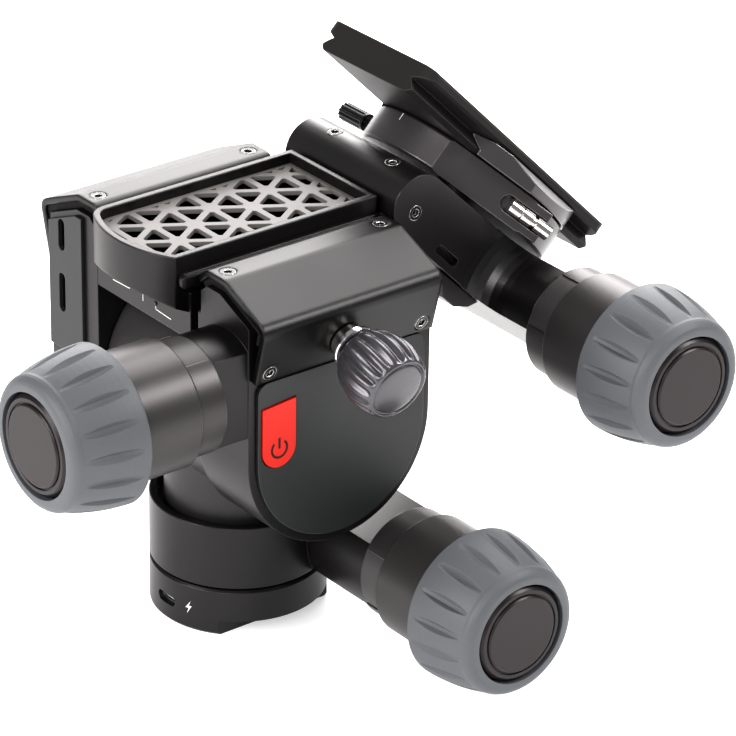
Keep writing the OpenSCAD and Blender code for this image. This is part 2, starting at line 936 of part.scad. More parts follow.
// Deck between the side housings, with a front wall, the tray on top and the seat of the arm
module bridge() {
    color(anodised) difference() {
        union() {
            box([-drum_r, -block_in, deck_z], [arm_x, block_in, block_top]);
            box([-drum_r, -block_in, wall_z], [-drum_r + wall_t, block_in, deck_z]);
            box([-drum_r, -cover_in + seat_gap, deck_z], [arm_x, cover_in - seat_gap, deck_top]);
            translate([0, 0, chin_z]) linear_extrude(tray_top - chin_z) intersection() {
                tray_outline(0);
                translate([-tray_front, -tray_half]) square([tray_front, 2 * tray_half]);
            }
            translate([0, 0, deck_top - cut]) linear_extrude(tray_top - deck_top + cut) tray_outline(0);
        }
        translate([-drum_r, 0, chin_z]) rotate([0, chin_slope, 0])
            box([-tray_front, -tray_half - cut, -tray_rise], [0, tray_half + cut, 0]);
        box([-drum_r - cut, -block_in - cut, wall_z - cut],
            [-drum_r + wall_gap_depth, -block_in + wall_gap, tray_top]);
        translate([0, 0, tray_floor]) linear_extrude(tray_depth + cut) tray_outline(tray_wall);
        translate([0, 0, tray_floor - tray_sump]) linear_extrude(tray_depth)
            tray_outline(tray_wall + grille_edge);
        arm_frame() arm_solid(seat_gap);
    }
}

module grille() {
    color(grille_beige) translate([0, 0, tray_floor]) linear_extrude(grille_t) difference() {
        tray_outline(tray_wall + seat_gap);
        intersection() {
            tray_outline(tray_wall + grille_edge);
            grille_holes();
        }
    }
}

// Triangles between the bars, pointing along X and against it by turns
module grille_holes() {
    half = grille_side / 2;
    leg = norm([grille_step, half]);
    inner = half * grille_step / (half + leg);
    shrink = 1 - grille_bar / 2 / inner;
    hole = blunted(shrink * [[-inner, -half], [-inner, half], [grille_step - inner, 0]], grille_blunt);
    rows = ceil(tray_half / grille_side);
    for (j = [-ceil(tray_front / grille_step) : ceil(tray_back / grille_step)], i = [-rows - 1 : rows])
        translate([grille_shift + j * grille_step, (i + (j % 2 == 0 ? 0.5 : 0)) * grille_side]) {
            translate([inner, half]) polygon(hole);
            translate([grille_step - inner, 0]) rotate(180) polygon(hole);
        }
}

module port_panel() {
    color(face_grey) difference() {
        intersection() {
            along_x(drum_r + panel_t) polygon(roof_path(roof_inset + panel_margin, panel_low));
            box([-drum_r - panel_t, panel_in, panel_low], [-drum_r, block_out - panel_edge, strip_z]);
        }
        port_slots(cut);
    }
}

// Upright slots for the two ports, cut to a depth behind the far housing's front
module port_slots(depth) {
    for (q = slots)
        translate([-drum_r - panel_t - cut, slot_y, q[1]]) rotate([0, 90, 0])
            linear_extrude(panel_t + cut + depth) slot(q[0], slot_w);
}

// Flat slot with round ends
module slot(long, wide) {
    square([long - wide, wide], center = true);
    for (s = [-1, 1]) translate([s * (long - wide) / 2, 0]) circle(d = wide);
}

module battery() {
    color(tongue_grey) box([-room_half + 12, block_in + room_wall, room_low],
        [room_half, block_out - room_wall - 4, block_top - room_wall - 1]);
}

module control_board() {
    color(board_green) box([-room_half, block_out - room_wall - board_t, room_low],
        [room_half, block_out - room_wall, block_top - room_wall - 1]);
}

module near_bush() {
    color(bronze) shaft_bush(-1);
}

module far_bush() {
    color(bronze) shaft_bush(1);
}

// Plain bearing around the tilt shaft on one side
module shaft_bush(side) {
    from = min(side * block_in, side * bush_end);
    to = max(side * block_in, side * bush_end);
    translate([0, 0, tilt_z]) difference() {
        bar_y(tilt_shaft_r + bush_wall, from, to);
        bar_y(tilt_shaft_r + run_fit, from - cut, to + cut);
    }
}

module tilt_motor() {
    tilt_frame() drive_motor(tilt_reach);
}

module tilt_tongue() {
    tilt_frame() drive_tongue(tilt_reach);
}

module tilt_collar() {
    tilt_frame() drive_collar(tilt_reach);
}

module tilt_worm() {
    tilt_frame() drive_worm(tilt_reach);
}

module tilt_hub() {
    tilt_frame() drive_hub(tilt_reach);
}

module tilt_grip() {
    tilt_frame() drive_grip(tilt_reach);
}

// Arm and tracking drive

// Arm in its own frame: rounded upper end, taper to the worm housing, grown by a gap
module arm_solid(gap) {
    rotate([90, 0, 0]) translate([0, 0, -arm_half - gap]) linear_extrude(2 * (arm_half + gap)) union() {
        circle(r = arm_end_r + gap);
        polygon([[0, arm_end_r + gap], [arm_len, tube_half + gap], [arm_len, -tube_half - gap],
            [0, -arm_end_r - gap]]);
    }
}

// Places the screws of the arm: two in its rounded end and one in each side
module arm_screw_places() {
    for (side = [-1, 1]) {
        rotate([0, -arm_screw_turn, 0]) translate([0, side * arm_screw_y, arm_end_r]) children();
        translate([side_screw[0], side * arm_half, side_screw[1]]) rotate([side * -90, 0, 0]) children();
    }
}

// Hollow flare between the arm's near side and the worm housing, in the worm's frame
module arm_flare() {
    intersection() {
        rotate_extrude() polygon([
            [0, arm_half - cut], [tube_r + flare_r, arm_half - cut],
            for (a = [0 : 15 : 90]) [tube_r + flare_r * (1 - sin(a)), arm_half + flare_r * (1 - cos(a))],
            [0, arm_half + flare_r]]);
        box([-tube_r - flare_r, -tube_half, arm_half - cut], [0, tube_half, arm_half + flare_r]);
    }
}

module arm() {
    color(anodised) arm_frame() difference() {
        union() {
            arm_solid(0);
            translate([arm_len, 0, 0]) rotate([90, 0, 0]) {
                flat_bar(tube_r, tube_half, -arm_half, track_reach);
                arm_flare();
            }
        }
        translate([track_c, 0, 0]) {
            bar(wheel_r + wheel_room, -tube_half - cut, wheel_half + wheel_room);
            bar(spindle_r + run_fit, 0, tube_half + cut);
        }
        translate([arm_len, 0, 0]) rotate([90, 0, 0]) drive_room(track_reach);
        arm_screw_places() socket_seat();
        translate([side_slot[0], -arm_half + side_slot_depth, side_slot[1]]) rotate([90, 0, 0])
            linear_extrude(side_slot_depth + cut) slot(side_slot_len, side_slot_w);
    }
}

module arm_screws() {
    color(black) arm_frame() arm_screw_places() socket_head();
}

// Lid that closes the wheel's chamber under the arm, with a chin that hangs below it
module arm_cover() {
    color(dark_shell) clamp_frame() {
        bar(wheel_r + wheel_room - seat_gap, -tube_half - seat_gap, -tube_half + lid_t);
        translate([0, chin_half, -tube_half]) rotate([90, 0, 0]) linear_extrude(2 * chin_half) polygon([
            [-0.3 * tube_half - 8, -seat_gap], [tube_half, -seat_gap], [0.8 * tube_half, -0.5 * chin_drop],
            [0.3 * tube_half, -chin_drop], [-0.25 * tube_half, -chin_drop]]);
    }
}

module track_motor() {
    track_frame() drive_motor(track_reach);
}

module track_tongue() {
    track_frame() drive_tongue(track_reach);
}

module track_collar() {
    track_frame() drive_collar(track_reach);
}

module track_worm() {
    track_frame() drive_worm(track_reach);
}

module track_hub() {
    track_frame() drive_hub(track_reach);
}

module track_grip() {
    track_frame() drive_grip(track_reach);
}

// Clamp and camera plate, in the arm's frame about the tracking axis

module clamp_frame() {
    arm_frame() translate([track_c, 0, 0]) children();
}

module track_spindle() {
    foot = -tube_half + lid_t + free_gap;
    color(steel) clamp_frame() {
        bar(spindle_r, foot, clamp_z);
        bar(hub_r, foot, -wheel_half);
    }
}

module track_wheel() {
    color(bronze) clamp_frame() worm_wheel(spindle_r);
}

// Clamp jaw on the +Y side: a slice of the disc hooked over the plate's dovetail, from a height up
module jaw_solid(foot) {
    intersection() {
        along_x(clamp_r) polygon([
            [jaw_inner, foot], [jaw_inner, lip_z], [jaw_tip, groove_z - free_gap],
            [jaw_tip, groove_z - seat_gap], [plate_half - plate_chamfer, jaw_top],
            [clamp_r - 2 * jaw_slope, jaw_top], [clamp_r, jaw_top - jaw_slope], [clamp_r, foot]]);
        bar(clamp_r, foot, jaw_top);
    }
}

// Bore of the clamp's screw, from the middle to a distance
module screw_bore(to) {
    translate([0, 0, clamp_screw_z]) bar_y(clamp_screw_r + run_fit, min(0, to), max(0, to));
}

// Frame of the clamp's flat: X runs along the flat toward the fork, -Y out through it
module on_flat() {
    rotate(-flat_turn) children();
}

// Room outside the clamp's flat, at a distance from the tracking axis
module flat_cut(d) {
    on_flat() box([-clamp_r, -d - flat_room, 0], [clamp_r, -d, plate_top]);
}

// Slot between the fork's prongs, round at its closed end
module fork_slot() {
    on_flat() translate([fork_end, -fork_floor, fork_z]) rotate([90, 0, 0])
        linear_extrude(flat_room) slot(2 * (fork_end - fork_start + fork_half), 2 * fork_half);
}

module clamp_base() {
    color(dark_shell) clamp_frame() difference() {
        union() {
            chamfered_bar(clamp_r, clamp_z, clamp_top, chamfer);
            on_flat() box([0, -flat_d - cut, clamp_z + fork_lip],
                [fork_end, -flat_d / 2, clamp_top - fork_lip]);
        }
        flat_cut(flat_d);
        fork_slot();
        box([-lug_half - free_gap, -jaw_inner - lug_t - jaw_travel - free_gap, lug_low - free_gap],
            [lug_half + free_gap, -jaw_inner + free_gap, clamp_top + cut]);
        screw_bore(clamp_r + cut);
        screw_bore(-jaw_inner);
    }
}

module fixed_jaw() {
    color(dark_shell) clamp_frame() jaw_solid(clamp_top);
}

// Moving jaw, pulled by the screw through a lug that runs in the clamp's pocket
module clamp_jaw() {
    color(dark_shell) clamp_frame() difference() {
        union() {
            mirror([0, 1, 0]) jaw_solid(clamp_top + free_gap);
            box([-lug_half, -jaw_inner - lug_t, lug_low],
                [lug_half, -jaw_inner, clamp_top + free_gap + cut]);
        }
        flat_cut(flat_d + jaw_proud);
        screw_bore(-clamp_r - cut);
    }
}

module clamp_screw() {
    color(steel) clamp_frame() translate([0, 0, clamp_screw_z]) {
        bar_y(clamp_screw_r, -jaw_inner - lug_t - jaw_travel, knob_start);
        difference() {
            bar_y(clamp_knob_r, knob_start, knob_end);
            for (i = [1 : clamp_knob_ribs])
                rotate([0, i * 360 / clamp_knob_ribs, 0]) translate([clamp_knob_r + clamp_rib_r / 2, 0, 0])
                    bar_y(clamp_rib_r, knob_start + cut, knob_end + cut);
        }
    }
}

// Barrel nut that lies in the fork, with two grooves around it
module clamp_nut() {
    last = clamp_nut_rings[len(clamp_nut_rings) - 1];
    color(steel) clamp_frame() on_flat()
        translate([clamp_nut_from, -fork_floor - seat_gap - clamp_nut_r, fork_z]) rotate([0, 90, 0]) {
            bar(clamp_nut_core, 0, last[1]);
            for (ring = clamp_nut_rings) bar(clamp_nut_r, ring[0], ring[1]);
        }
}

// Half section of the camera plate on the +Y side: a wide flange over a dovetail
plate_edge = [[foot_half, plate_z], [dovetail_half, lip_z], [groove_half, groove_z],
    [plate_half - plate_chamfer, flange_z], [plate_half, flange_z + plate_chamfer],
    [plate_half, plate_top - chamfer], [plate_half - chamfer, plate_top]];

module plate_section() {
    last = len(plate_edge) - 1;
    polygon([
        for (i = [0 : last]) plate_edge[i],
        for (i = [last : -1 : 0]) [-plate_edge[i][0], plate_edge[i][1]]]);
}

module plate_frame() {
    arm_frame() translate([plate_c, 0, 0]) children();
}

module camera_plate() {
    color(dark_shell) plate_frame() difference() {
        intersection() {
            along_x(plate_len / 2) plate_section();
            translate([0, 0, plate_z]) linear_extrude(plate_t) plate_outline();
        }
        bar(camera_bore, plate_z, plate_top + cut);
        bar(camera_head_r + free_gap, plate_z - cut, plate_z + camera_room);
        pad_strips(0, cut);
    }
}

// The plate from above, with round corners
module plate_outline() {
    long = plate_len / 2 - plate_corner;
    wide = plate_half - plate_corner;
    square(2 * [long + plate_corner, wide], center = true);
    square(2 * [long, wide + plate_corner], center = true);
    for (x = [-long, long], y = [-wide, wide]) translate([x, y]) circle(r = plate_corner);
}

// Two rubber strips let into the plate's top on either side of the screw
module pad_strips(gap, over) {
    for (turn = [0, 180])
        rotate(turn) box([pad_from + gap, -plate_half + pad_side + gap, plate_top - pad_t],
            [plate_len / 2 - pad_end - gap, plate_half - pad_side - gap, plate_top + over]);
}

module plate_pad() {
    color(black) plate_frame() pad_strips(seat_gap, pad_proud);
}

module camera_screw() {
    color(steel) plate_frame() {
        bar(camera_screw_r, plate_z + camera_head_t, plate_top - free_gap);
        difference() {
            bar(camera_head_r, plate_z + free_gap, plate_z + camera_head_t + free_gap);
            box([-camera_head_r, -camera_slot_w / 2, plate_z],
                [camera_head_r, camera_slot_w / 2, plate_z + camera_slot_w]);
        }
    }
}

// Lock knob

module lock_frame() {
    translate([lock_x, 0, 0]) undercut_frame(-1) children();
}

module lock_stud() {
    color(steel) lock_frame() {
        bar(lock_stud_r, -lock_bury, lock_ring_len + lock_socket);
        bar(lock_ring_r, free_gap, lock_ring_len);
    }
}

module lock_grip() {
    skin = [for (i = [0 : lock_steps])
        let (t = 2 * i / lock_steps - 1)
        [lock_r - (t < 0 ? 4 : 1) * t * t, chamfer + i * (lock_len - 2 * chamfer) / lock_steps]];
    brim = lock_r - 1 - chamfer;
    color(dark_shell) lock_frame() translate([0, 0, lock_ring_len]) difference() {
        rotate_extrude() polygon(concat(
            [[lock_stud_r, 0], [lock_ring_r + chamfer, 0]], skin,
            [[brim, lock_len], [lock_groove_r + lock_groove, lock_len],
                [lock_groove_r, lock_len - lock_groove], [lock_groove_r - lock_groove, lock_len],
                [lock_groove_r / 2, lock_len + lock_dome], [0, lock_len + lock_dome], [0, lock_socket],
                [lock_stud_r, lock_socket]]));
        for (i = [0 : lock_flutes - 1])
            rotate(i * 360 / lock_flutes) translate([lock_r, 0, 0])
                bar(lock_rib_r, lock_band, lock_len - lock_band);
    }
}

base_shell();
tripod_bush();
charge_port();
pan_spindle();
pan_wheel();
thrust_washer();
spindle_nut();
pan_housing();
knuckle();
tilt_shaft();
tilt_wheel();
pan_motor();
pan_tongue();
pan_collar();
pan_worm();
pan_hub();
pan_grip();
near_housing();
far_housing();
near_cover();
far_cover();
cover_seals();
near_face();
far_face();
bridge();
grille();
port_panel();
battery();
control_board();
near_bush();
far_bush();
cover_screws();
arm();
arm_cover();
arm_screws();
tilt_motor();
tilt_tongue();
tilt_collar();
track_motor();
track_tongue();
track_collar();
tilt_worm();
tilt_hub();
tilt_grip();
track_worm();
track_hub();
track_grip();
lock_stud();
lock_grip();
power_button();
track_spindle();
track_wheel();
clamp_base();
fixed_jaw();
clamp_jaw();
clamp_screw();
clamp_nut();
camera_plate();
plate_pad();
camera_screw();
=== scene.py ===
"""Dresses the motorised tripod head: finishes, small pieces and signs, and a studio."""

import json
import math

import bmesh
import bpy
from mathutils import Matrix, Vector


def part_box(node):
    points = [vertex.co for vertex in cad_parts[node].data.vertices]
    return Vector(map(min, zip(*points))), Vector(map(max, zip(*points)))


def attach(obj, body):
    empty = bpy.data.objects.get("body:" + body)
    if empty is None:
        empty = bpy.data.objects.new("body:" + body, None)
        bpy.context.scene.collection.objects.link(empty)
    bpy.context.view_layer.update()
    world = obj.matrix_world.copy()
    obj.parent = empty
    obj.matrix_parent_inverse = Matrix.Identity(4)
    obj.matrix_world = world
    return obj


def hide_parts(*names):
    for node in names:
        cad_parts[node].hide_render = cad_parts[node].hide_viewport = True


bl_info = {
    "name": "Tripod head finishes",
    "version": (1, 0, 0),
    "blender": (4, 5, 0),
    "location": "3D View > Sidebar > Tripod head",
    "description": "Finishes, small pieces, signs and a studio for a motorised tripod head",
    "category": "Object",
}

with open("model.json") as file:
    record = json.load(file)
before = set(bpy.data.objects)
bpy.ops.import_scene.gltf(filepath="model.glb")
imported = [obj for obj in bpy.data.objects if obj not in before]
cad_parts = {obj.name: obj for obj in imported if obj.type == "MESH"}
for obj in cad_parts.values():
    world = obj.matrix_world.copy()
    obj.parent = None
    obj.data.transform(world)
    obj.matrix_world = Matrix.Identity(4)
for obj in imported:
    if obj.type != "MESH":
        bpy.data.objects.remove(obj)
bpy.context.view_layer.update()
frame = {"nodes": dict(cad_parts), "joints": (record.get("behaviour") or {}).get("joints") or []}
nodes = frame["nodes"]
joints = {joint["name"]: joint for joint in frame["joints"]}

MM = 0.001
ACROSS, AWAY, UP = Vector((1, 0, 0)), Vector((0, 1, 0)), Vector((0, 0, 1))


# Shader expressions


class Wire:
    """One output socket of a material's node tree, which takes part in arithmetic."""

    def __init__(self, paint, socket):
        self.paint, self.socket = paint, socket

    def _math(self, operation, first, second):
        return self.paint.node("ShaderNodeMath", {"operation": operation}, {0: first, 1: second})

    def __add__(self, other):
        return self._math("ADD", self, other)

    def __radd__(self, other):
        return self._math("ADD", other, self)

    def __sub__(self, other):
        return self._math("SUBTRACT", self, other)

    def __rsub__(self, other):
        return self._math("SUBTRACT", other, self)

    def __mul__(self, other):
        return self._math("MULTIPLY", self, other)

    def __rmul__(self, other):
        return self._math("MULTIPLY", other, self)


class Paint:
    """A material under construction, with one method that adds any node."""

    def __init__(self, name):
        self.material = bpy.data.materials.new(name)
        self.material.use_nodes = True
        self.tree = self.material.node_tree
        self.surface = self.tree.nodes["Principled BSDF"]

    def node(self, kind, settings=None, values=None, output=0):
        """Adds a node: its settings first, then the values or links of its sockets."""
        made = self.tree.nodes.new(kind)
        for key, value in (settings or {}).items():
            setattr(made, key, value)
        self.feed(made, values or {})
        return Wire(self, made.outputs[output])

    def feed(self, made, values):
        """Links each wire to its socket, and writes each plain value on it."""
        for key, value in values.items():
            if isinstance(value, Wire):
                self.tree.links.new(value.socket, made.inputs[key])
            else:
                made.inputs[key].default_value = value

    def finish(self, **values):
        """Sets the surface's sockets by name, with blanks written as underscores."""
        self.feed(self.surface, {key.replace("_", " "): value for key, value in values.items()})
        return self.material

    def place(self):
        """Object coordinates."""
        return self.node("ShaderNodeTexCoord", output=3)

    def noise(self, scale, detail=2.0, rough=0.5):
        """Noise on the object, from 0 to 1."""
        return self.node("ShaderNodeTexNoise", values={
            "Vector": self.place(), "Scale": scale, "Detail": detail, "Roughness": rough})

    def blend(self, amount, low, high):
        """Colour between two others."""
        return self.node("ShaderNodeMix", {"data_type": "RGBA"}, {0: amount, 6: low, 7: high}, output=2)

    def soft_edge(self, radius):
        """Normal that rounds the edges by a radius."""
        return self.node("ShaderNodeBevel", {"samples": 6}, {"Radius": radius})

    def edge_mask(self, rounded, gain):
        """Near one on edges, from the rounded normal and the true one."""
        true = self.node("ShaderNodeNewGeometry", output=1)
        facing = self.node(
            "ShaderNodeVectorMath", {"operation": "DOT_PRODUCT"}, {0: rounded, 1: true}, output=1)
        return self.node(
            "ShaderNodeMath", {"operation": "MULTIPLY", "use_clamp": True}, {0: 1 - facing, 1: gain})

    def relief(self, height, depth, strength, under):
        """Normal with fine relief on top of another normal."""
        return self.node("ShaderNodeBump", values={
            "Strength": strength, "Distance": depth, "Height": height, "Normal": under})


# Finishes


def shade(colour, factor):
    """Colour made paler or darker by a factor, never above one."""
    return (*[min(1.0, part * factor) for part in colour[:3]], 1.0)


# Satin metal: how far drift, grain and edge wear move its roughness, and its paler rims, which are partly
# wear and partly a painted highlight
SATIN_BASE = 0.06
SATIN_DRIFT = 0.07
SATIN_GRAIN = 0.05
SATIN_POLISH = 0.08
SATIN_RIM_WEAR_AND_HIGHLIGHT = 3.0


def machined(name, colour, rough, metal=0.0, wear_and_highlight=0.5, edge=0.45, rim_wear_and_highlight=None, bare=0.0, gloss=0.5):
    """Satin, bead-blasted metal: fine grain, slow tone drift, and barer rounded edges painted paler, partly
    as wear and partly as a painted highlight.
    """
    paint = Paint(name)
    rounded = paint.soft_edge(edge * MM)
    worn_and_lit_edges = paint.edge_mask(rounded, gain=6.0)
    drift = paint.noise(scale=22.0, detail=3.0)
    fine = paint.noise(scale=2600.0, rough=0.6)
    tone = paint.blend(drift, shade(colour, 0.88), shade(colour, 1.14))
    # Edges painted paler: partly wear, partly a painted highlight where light catches the rounding
    tone = paint.blend(worn_and_lit_edges * wear_and_highlight, tone, rim_wear_and_highlight or shade(colour, SATIN_RIM_WEAR_AND_HIGHLIGHT))
    return paint.finish(
        Base_Color=tone, Metallic=metal + worn_and_lit_edges * bare if bare else metal,
        Roughness=rough - SATIN_BASE + drift * SATIN_DRIFT + fine * SATIN_GRAIN - worn_and_lit_edges * SATIN_POLISH,
        Normal=paint.relief(fine, depth=0.00004, strength=0.25, under=rounded), Specular_IOR_Level=gloss)


def steel(name, colour, rough):
    """Bright metal with fine tool marks, which make it a little rougher."""
    paint = Paint(name)
    rounded = paint.soft_edge(0.25 * MM)
    marks = paint.noise(scale=900.0, detail=3.0, rough=0.6)
    tone = paint.blend(marks, shade(colour, 0.82), shade(colour, 1.1))
    return paint.finish(
        Base_Color=tone, Metallic=1.0, Roughness=rough + marks * 0.1,
        Normal=paint.relief(marks, depth=0.00002, strength=0.2, under=rounded))


def moulded(name, colour, rough, grain=1800.0, depth=0.00006, wear_and_highlight=0.3, gloss=0.5):
    """Soft or hard plastic with a fine moulded texture."""
    paint = Paint(name)
    rounded = paint.soft_edge(0.4 * MM)
    worn_and_lit_edges = paint.edge_mask(rounded, gain=5.0)
    drift = paint.noise(scale=16.0)
    fine = paint.noise(grain, detail=1.0)
    tone = paint.blend(drift, shade(colour, 0.92), shade(colour, 1.08))
    # Edges painted paler: partly wear, partly a painted highlight
    tone = paint.blend(worn_and_lit_edges * wear_and_highlight, tone, shade(colour, 1.7))
    return paint.finish(
        Base_Color=tone, Roughness=rough + fine * 0.08, Specular_IOR_Level=gloss,
        Normal=paint.relief(fine, depth, strength=0.35, under=rounded))


def printed(name, colour):
    """Thin paint of a printed sign, a little uneven."""
    paint = Paint(name)
    drift = paint.noise(scale=700.0)
    tone = paint.blend(drift, shade(colour, 0.85), shade(colour, 1.05))
    return paint.finish(Base_Color=tone, Roughness=0.6)


def srgb(red, green, blue):
    """Linear colour from the 0 to 255 values seen in a picture."""
    parts = (part / 255 for part in (red, green, blue))
    return tuple(part / 12.92 if part <= 10 / 255 else ((part + 0.055) / 1.055) ** 2.4 for part in parts)


# Name of each finish: its maker, the maker's settings, and the nodes that it covers
FINISHES = {
    "anodised": (machined, dict(colour=srgb(27, 25, 25), rough=0.34),
                 "base_shell pan_housing near_housing far_housing"),
    "arm_black": (machined, dict(colour=srgb(32, 30, 30), rough=0.32, gloss=0.8), "arm"),
    "cover_black": (machined, dict(colour=srgb(18, 17, 17), rough=0.36, wear_and_highlight=0.5, edge=1.6),
                    "near_cover far_cover"),
    "deck_black": (machined, dict(colour=srgb(30, 28, 28), rough=0.36, wear_and_highlight=0.15, edge=1.0), "bridge"),
    "yoke": (machined, dict(colour=srgb(54, 53, 54), rough=0.42), "knuckle"),
    "faceplate": (machined, dict(colour=srgb(47, 50, 49), rough=0.42, wear_and_highlight=0.7),
                  "near_face far_face port_panel"),
    # Clamp and plate: strong pale edges, partly wear and partly a painted highlight
    "clamp_black": (machined, dict(colour=srgb(98, 96, 97), rough=0.3, metal=0.6, wear_and_highlight=0.8, edge=0.6,
                                   bare=0.3), "clamp_base fixed_jaw clamp_jaw"),
    "plate_black": (machined, dict(colour=srgb(54, 52, 52), rough=0.4, gloss=0.1, wear_and_highlight=0.9, edge=0.6),
                    "camera_plate"),
    "shell_black": (machined, dict(colour=srgb(76, 74, 74), rough=0.36, metal=0.5),
                    "pan_collar tilt_collar track_collar arm_cover"),
    "washer_black": (moulded, dict(colour=srgb(20, 20, 20), rough=0.6), "thrust_washer"),
    "lock_plastic": (machined, dict(colour=srgb(100, 99, 102), rough=0.27, metal=0.6, wear_and_highlight=0.6),
                     "lock_grip"),
    "grip_rubber": (moulded, dict(colour=srgb(94, 97, 100), rough=0.46, depth=0.0001),
                    "pan_grip tilt_grip track_grip"),
    "cap": (machined, dict(colour=srgb(48, 44, 45), rough=0.34, metal=0.3, wear_and_highlight=0.8),
            "pan_hub tilt_hub track_hub"),
    "tongue": (machined, dict(colour=srgb(82, 81, 81), rough=0.42, metal=0.3),
               "pan_tongue tilt_tongue track_tongue"),
    "plain_steel": (steel, dict(colour=(0.55, 0.55, 0.56), rough=0.28),
                    "tripod_bush charge_port pan_spindle spindle_nut tilt_shaft pan_motor tilt_motor "
                    "track_motor pan_worm tilt_worm track_worm track_spindle camera_screw"),
    "screw_dark": (machined, dict(colour=srgb(40, 39, 40), rough=0.28, metal=0.6), "clamp_screw"),
    "bronze": (steel, dict(colour=(0.60, 0.40, 0.18), rough=0.3),
               "pan_wheel tilt_wheel track_wheel near_bush far_bush"),
    "bright": (steel, dict(colour=(0.72, 0.70, 0.68), rough=0.12), "clamp_nut lock_stud"),
    "grille_beige": (moulded, dict(colour=srgb(120, 118, 116), rough=0.5), "grille"),
    "button_red": (moulded, dict(colour=srgb(222, 44, 26), rough=0.4, wear_and_highlight=0.1), "power_button"),
    "board_green": (moulded, dict(colour=(0.02, 0.09, 0.04), rough=0.4), "control_board"),
    "battery_wrap": (moulded, dict(colour=(0.05, 0.06, 0.08), rough=0.3), "battery"),
    # Screws: bright rims, partly bare metal and partly a painted highlight
    "screw_black": (machined, dict(colour=srgb(22, 22, 22), rough=0.3, wear_and_highlight=1.0, edge=0.6, bare=0.8,
                                   rim_wear_and_highlight=(0.8, 0.79, 0.78, 1.0)), "cover_screws arm_screws"),
    "pad_rubber": (moulded, dict(colour=srgb(22, 22, 22), rough=0.75), "plate_pad cover_seals"),
    # Painted shade: a near-black, dull sheet under the grille's holes
    "screen_black": (moulded, dict(colour=srgb(3, 3, 3), rough=0.9, grain=900.0, depth=0.0003, gloss=0.0),
                     ""),
    "lamp_dark": (moulded, dict(colour=srgb(12, 12, 13), rough=0.15), ""),
    "sign_dark": (printed, dict(colour=srgb(60, 22, 18)), ""),
    "sign_pale": (printed, dict(colour=srgb(235, 233, 230)), ""),
}

# Sizes and places of the new pieces, in millimetres and degrees

# Slack in a test of place, angle under which an edge is smoothed, and depth of the printed signs
NEAR = 0.01
SMOOTH_ANGLE = 35
SIGN_DEPTH = 0.08

# Power sign: the ring's sides, and the share of its radius where it opens; the bar's foot, and top as a share
POWER_SIDES = 60
POWER_GAP = 0.8
POWER_FOOT = 0.1
POWER_TOP = 1.15

# Charge sign: place round the base, and outline
CHARGE_TURN = 200
CHARGE_SIGN = ((0.9, 2.4), (-1.2, -0.4), (0.1, -0.4), (-0.6, -2.6), (1.3, 0.5), (0.1, 0.5))

# Front wall: ends of the leader ticks, place of the lamp, and the lamp's heights and radii
LEADERS = (
    ((-19.2, 120.4), (-9.8, 120.8)),
    ((-9.8, 120.8), (-9.7, 121.6)),
    ((-2.3, 121.6), (-2.3, 119.2)),
    ((4.7, 120.0), (4.9, 119.0)),
    ((4.9, 119.0), (13.2, 118.6)),
)
LAMP = (4.7, 121.0)
LAMP_PROFILE = ((0, 0.8), (0.25, 0.75), (0.35, 0.5), (0.38, 0.1))
LAMP_SIDES = 24

# Index tick: turn about the tracking axis, and heights along it
INDEX_TURN = 173.8
INDEX_HEIGHTS = (22.6, 25.2)

# Ports: place to the far side and up, and length; the tongue is shorter and lies sunk behind the panel
PORTS = ((47, 126.3, 11.3), (47, 105.3, 14))
TONGUE_THICK = 0.8
TONGUE_SHORTER = 4.6
TONGUE_DEEP = 2.4
TONGUE_SINK = 2.7
TONGUE_ROUND = 0.25

# Rail: length, width and depth, rim and depth of its groove, and its place at the grille and the near cover
RAIL_SIZE = (82, 3.2, 4)
RAIL_RIM = 0.8
RAIL_GROOVE = 0.9
RAIL_NOSE = 1.1
RAIL_START = 5.2
RAIL_CLEAR = 0.3
RAIL_TOP = -1.2

# Shade sheet, a black sheet of painted shade under the grille: radius and sides of its bowed front, inset and
# gap from the grille, and its cut corner
SHADE_SHEET_BOW = 38
SHADE_SHEET_SIDES = 96
SHADE_SHEET_INSET = 2.2
SHADE_SHEET_CORNER = (-39.6, 17.2, 0)
SHADE_SHEET_THICK = 0.6
SHADE_SHEET_GAP = 0.05

# Lock knob and washer: heights from the cover and radii
LOCK_PROFILE = (
    (5.4, 6.4), (7.2, 6.4), (7.5, 8.2), (8.4, 9.5), (9.6, 10.3), (12, 11.6), (15, 12.6), (18.5, 13),
    (22, 12.9), (25, 12.3), (26.6, 11.8), (27.8, 11.2), (28.4, 10.4), (28.3, 9.9), (27.7, 9.7),
    (27.7, 9.3), (28.3, 9.1), (28.7, 8), (29.1, 5), (29.25, 2), (29.3, 0.3),
)
WASHER_PROFILE = ((3.2, 6.4), (3.4, 7.2), (3.8, 7.5), (4.8, 7.5), (5.2, 7.2), (5.4, 6.4))
WASHER_SIDES = 64

# Flutes: stretch of the knob that has them, steps in each, and which steps shrink to which share
LOCK_FLUTED = (8.6, 27)
FLUTE_STEPS = 6
FLUTE_DEPTHS = (((3, 4, 5), 0.94), ((4,), 0.95))

# Studio in metres: the camera's aim and its shift to the right and up, the floor, and the panels of light
CAMERA_AIM = Vector((0, 0, 0.06))
CAMERA_SHIFT = (0.0432, 0.0223)
SENSOR_MM = 36
FLOOR_SIZE = 12
FLOOR_DRIFT = 0.98
LIGHT_AIM = Vector((0, 0, 0.09))
LIGHT_TONE = (1.0, 0.975, 0.97)

